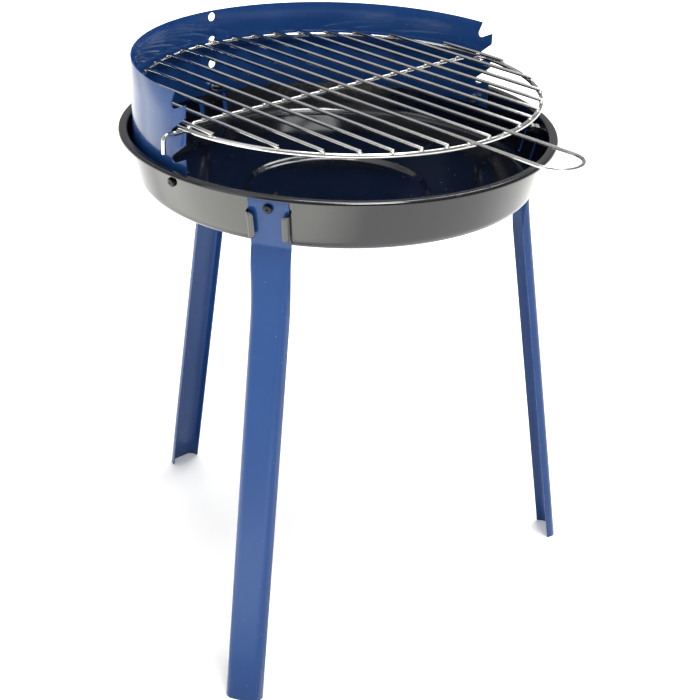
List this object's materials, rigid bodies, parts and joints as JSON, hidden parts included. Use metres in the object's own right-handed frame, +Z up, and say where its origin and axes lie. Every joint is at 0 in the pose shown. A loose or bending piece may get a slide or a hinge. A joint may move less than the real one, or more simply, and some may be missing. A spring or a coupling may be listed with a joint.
{
  "type": "charcoal grill",
  "caption": "Round charcoal grill with a dished fire bowl on splayed channel legs, a half-round notched wind shield and a round wire grate with a loop handle.",
  "frame": {"origin": "on the ground, midway between the handle's tip and the back foot, which is the middle of the box's base", "axes": "+Z up, -Y the way the grate's handle points, +Y to the back leg and the middle of the wind shield, +X to the right seen from the handle"},
  "size_m": [0.403, 0.4766, 0.4829],
  "materials": {
    "black_enamel": "gloss black vitreous enamel on pressed steel",
    "blue_paint": "semi-gloss blue paint on sheet steel",
    "chrome_wire": "bright chromed steel wire",
    "dark_steel": "blackened steel",
    "zinc_steel": "bright zinc plate"
  },
  "bodies": {
    "stand": {"fire_bowl": "black_enamel", "wind_shield": "blue_paint", "leg_left": "blue_paint", "leg_right": "blue_paint", "leg_back": "blue_paint", "leg_screw_left": "dark_steel", "leg_screw_right": "dark_steel", "leg_screw_back": "dark_steel", "leg_nut_left": "zinc_steel", "leg_nut_right": "zinc_steel", "leg_nut_back": "zinc_steel", "shield_screw_left": "dark_steel", "shield_screw_right": "dark_steel", "shield_nut_left": "zinc_steel", "shield_nut_right": "zinc_steel"},
    "grate": {"grate_ring": "chrome_wire", "grate_crossbar": "chrome_wire", "grate_handle": "chrome_wire", "grate_middle_wire": "chrome_wire", "grate_pin": "chrome_wire", "wire_left_1": "chrome_wire", "wire_left_2": "chrome_wire", "wire_left_3": "chrome_wire", "wire_left_4": "chrome_wire", "wire_left_5": "chrome_wire", "wire_left_6": "chrome_wire", "wire_left_7": "chrome_wire", "wire_right_1": "chrome_wire", "wire_right_2": "chrome_wire", "wire_right_3": "chrome_wire", "wire_right_4": "chrome_wire", "wire_right_5": "chrome_wire", "wire_right_6": "chrome_wire", "wire_right_7": "chrome_wire"}
  },
  "joints": [
    {"name": "grate_draw", "type": "slide", "parent": "stand", "child": "grate", "axis": [0, -0.9063, 0.4226], "range_m": [0, 0.36]}
  ]
}
